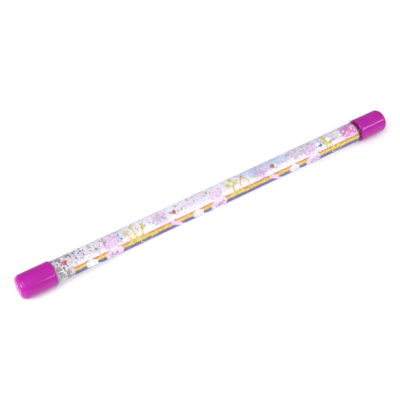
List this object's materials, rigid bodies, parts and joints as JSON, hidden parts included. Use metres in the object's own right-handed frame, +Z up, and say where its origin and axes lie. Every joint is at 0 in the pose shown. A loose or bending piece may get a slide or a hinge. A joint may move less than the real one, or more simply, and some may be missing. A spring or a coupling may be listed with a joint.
{
  "type": "liquid-filled glitter baton",
  "caption": "Straight twirling baton: a clear plastic tube in printed film, filled with water, glitter and loose sequins, with rounded soft vinyl bumper caps on both ends.",
  "frame": {"origin": "the balance point: on the tube's axis, halfway between the two closed cap ends", "axes": "+X along the tube towards the right cap, +Z up with the baton lying on its side, -Y towards the front, where the printed rainbow band runs"},
  "size_m": [0.4, 0.023, 0.023],
  "materials": {
    "clear_tube_plastic": "gloss",
    "printed_film": "gloss",
    "cap_vinyl": "gloss",
    "plug_elastomer": "satin",
    "sealant": "satin",
    "water": "gloss",
    "silver_foil": "gloss",
    "charcoal_foil": "gloss",
    "pink_foil": "gloss",
    "lilac_foil": "gloss",
    "sequin_foil": "polished",
    "hologram_foil": "polished"
  },
  "bodies": {
    "shell": {"clear_tube": "clear_tube_plastic", "printed_film": "printed_film", "left_cap": "cap_vinyl", "right_cap": "cap_vinyl", "left_plug": "plug_elastomer", "right_plug": "plug_elastomer", "left_sealant": "sealant", "right_sealant": "sealant"},
    "water": {"water_fill": "water", "silver_glitter": "silver_foil", "charcoal_glitter": "charcoal_foil", "pink_glitter": "pink_foil", "lilac_glitter": "lilac_foil"},
    "sequins": {"round_sequins": "sequin_foil"},
    "chips": {"hologram_chips": "hologram_foil"}
  },
  "joints": [
    {"name": "water_swirl", "type": "hinge", "parent": "shell", "child": "water", "pos_m": [0, 0, 0], "axis": [1, 0, 0], "continuous": true},
    {"name": "sequin_drift", "type": "slide", "parent": "water", "child": "sequins", "axis": [1, 0, 0], "range_m": [-0.245, 0.03], "deforming": ["water_fill"]},
    {"name": "chip_drift", "type": "slide", "parent": "water", "child": "chips", "axis": [1, 0, 0], "range_m": [-0.018, 0.255], "deforming": ["water_fill"]}
  ]
}
